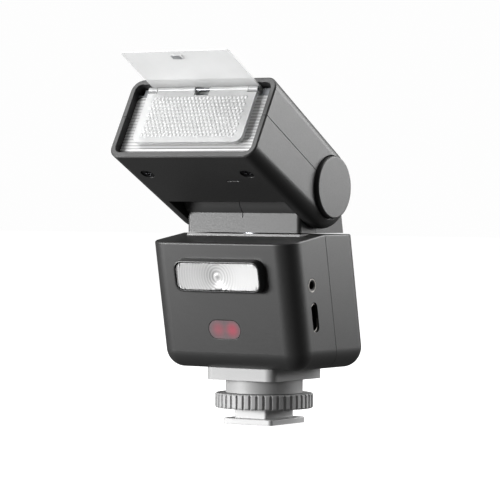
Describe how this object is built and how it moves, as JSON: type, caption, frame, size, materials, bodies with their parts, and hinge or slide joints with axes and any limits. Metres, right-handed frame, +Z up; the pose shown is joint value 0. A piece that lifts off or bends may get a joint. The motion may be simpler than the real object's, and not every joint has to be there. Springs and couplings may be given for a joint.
{
  "type": "speedlight flash",
  "caption": "Compact clip-on camera flash with swivelling, tilting head, bounce card, flip-down wide panel, front LED lamp and locking shoe foot.",
  "frame": {"origin": "centre of the shoe foot's underside, on the axis that the head swivels about", "axes": "+Z up out of the camera's shoe, -Y the way the flash fires when the head points forward, +X the side with the sockets"},
  "size_m": [0.0568, 0.0718, 0.1163],
  "materials": {
    "case_plastic": "dark grey moulded ABS with a fine spark-eroded grain",
    "control_plastic": "dark moulded keys and dial, slightly smoother than the case",
    "adapter_plastic": "pale grey moulded plastic",
    "foot_metal": "pale satin shoe foot",
    "clear_plastic": "clear polycarbonate optics",
    "smoked_red": "smoky red infrared-passing window",
    "card_plastic": "white translucent polypropylene sheet",
    "screen_glass": "black gloss touch glass",
    "screen_back": "display module",
    "circuit_board": "solder-masked glass-epoxy board",
    "component_black": "black moulded component",
    "phosphor": "LED phosphor",
    "led_red": "red LED epoxy",
    "gold_plate": "gold-plated contact",
    "steel": "zinc-plated steel",
    "black_steel": "black-oxide screws",
    "magnet": "nickel-plated magnet",
    "mirror_metal": "bright rolled reflector",
    "tube_glass": "quartz flash tube",
    "holder_rubber": "silicone tube holder",
    "cell_wrap": "shrink-wrapped lithium cell pack",
    "capacitor_sleeve": "sleeved electrolytic capacitor",
    "ferrite": "ferrite core transformer"
  },
  "bodies": {
    "body": {"shoe_foot": "foot_metal", "shoe_contacts": "gold_plate", "foot_screws": "steel", "adapter_housing": "adapter_plastic", "adapter_board": "circuit_board", "adapter_lid": "steel", "front_case": "case_plastic", "rear_cover": "case_plastic", "case_screws": "black_steel", "dock_magnets": "magnet", "link_pins": "gold_plate", "lamp_bezel": "case_plastic", "lamp_lens": "clear_plastic", "lamp_emitter": "phosphor", "lamp_board": "circuit_board", "assist_window": "smoked_red", "assist_leds": "led_red", "assist_board": "circuit_board", "sync_jack": "component_black", "usb_socket": "steel", "main_board": "circuit_board", "key_switches": "component_black", "battery": "cell_wrap", "main_capacitor": "capacitor_sleeve", "charging_transformer": "ferrite", "screen_window": "screen_glass", "screen_module": "screen_back", "bearing_plate": "steel", "bearing_screws": "black_steel"},
    "neck": {"swivel_hub": "steel", "swivel_retainer": "steel", "swivel_spring": "steel", "neck_front": "case_plastic", "neck_rear": "case_plastic", "neck_screws": "black_steel", "detent_springs": "steel"},
    "head": {"tilt_axles": "steel", "detent_discs": "steel", "head_upper": "case_plastic", "head_lower": "case_plastic", "hinge_caps": "case_plastic", "head_screws": "black_steel", "flash_lens": "clear_plastic", "reflector": "mirror_metal", "flash_tube": "tube_glass", "tube_holders": "holder_rubber", "mirror_mount": "component_black", "trigger_board": "circuit_board", "card_guide": "component_black", "panel_carrier": "clear_plastic", "panel_pin": "steel"},
    "bounce_card": {"bounce_card": "card_plastic"},
    "wide_panel": {"wide_panel": "clear_plastic"},
    "lock_ring": {"lock_ring": "adapter_plastic"},
    "lock_pin": {"lock_pin": "steel"},
    "dial": {"dial": "control_plastic"},
    "set_key": {"set_key": "control_plastic"},
    "test_key": {"test_key": "control_plastic"},
    "menu_key": {"menu_key": "control_plastic"},
    "power_switch": {"power_switch": "control_plastic"}
  },
  "joints": [
    {"name": "swivel", "type": "hinge", "parent": "body", "child": "neck", "pos_m": [0, 0, 0.0604], "axis": [0, 0, 1], "range_deg": [-150, 180]},
    {"name": "tilt", "type": "hinge", "parent": "neck", "child": "head", "pos_m": [0, -0.00385, 0.0751], "axis": [-1, 0, 0], "range_deg": [-30, 60]},
    {"name": "card_slide", "type": "slide", "parent": "head", "child": "bounce_card", "axis": [0, -0.866, 0.5], "range_m": [-0.0188, 0]},
    {"name": "panel_fold", "type": "hinge", "parent": "head", "child": "wide_panel", "pos_m": [0, -0.03526, 0.1049], "axis": [-1, 0, 0], "range_deg": [0, 90]},
    {"name": "lock_ring_turn", "type": "hinge", "parent": "body", "child": "lock_ring", "pos_m": [0, 0, 0.0073], "axis": [0, 0, 1], "range_deg": [0, 90]},
    {"name": "lock_pin_slide", "type": "slide", "parent": "body", "child": "lock_pin", "axis": [0, 0, -1], "range_m": [0, 0.0015]},
    {"name": "dial_turn", "type": "hinge", "parent": "body", "child": "dial", "pos_m": [-0.0133, 0.01703, 0.03942], "axis": [0, 0.9803, 0.1977], "continuous": true},
    {"name": "set_key_press", "type": "slide", "parent": "body", "child": "set_key", "axis": [0, -0.9803, -0.1977], "range_m": [0, 0.0006], "stiffness_N_per_m": 300},
    {"name": "test_key_press", "type": "slide", "parent": "body", "child": "test_key", "axis": [0, -0.9803, -0.1977], "range_m": [0, 0.0006], "stiffness_N_per_m": 300},
    {"name": "menu_key_press", "type": "slide", "parent": "body", "child": "menu_key", "axis": [0, -0.9803, -0.1977], "range_m": [0, 0.0006], "stiffness_N_per_m": 300},
    {"name": "power_slide", "type": "slide", "parent": "body", "child": "power_switch", "axis": [-1, 0, 0], "range_m": [0, 0.003]}
  ],
  "couplings": [
    {"joint": "lock_pin_slide", "follows": "lock_ring_turn", "m_per_rad": 0.00095483}
  ]
}
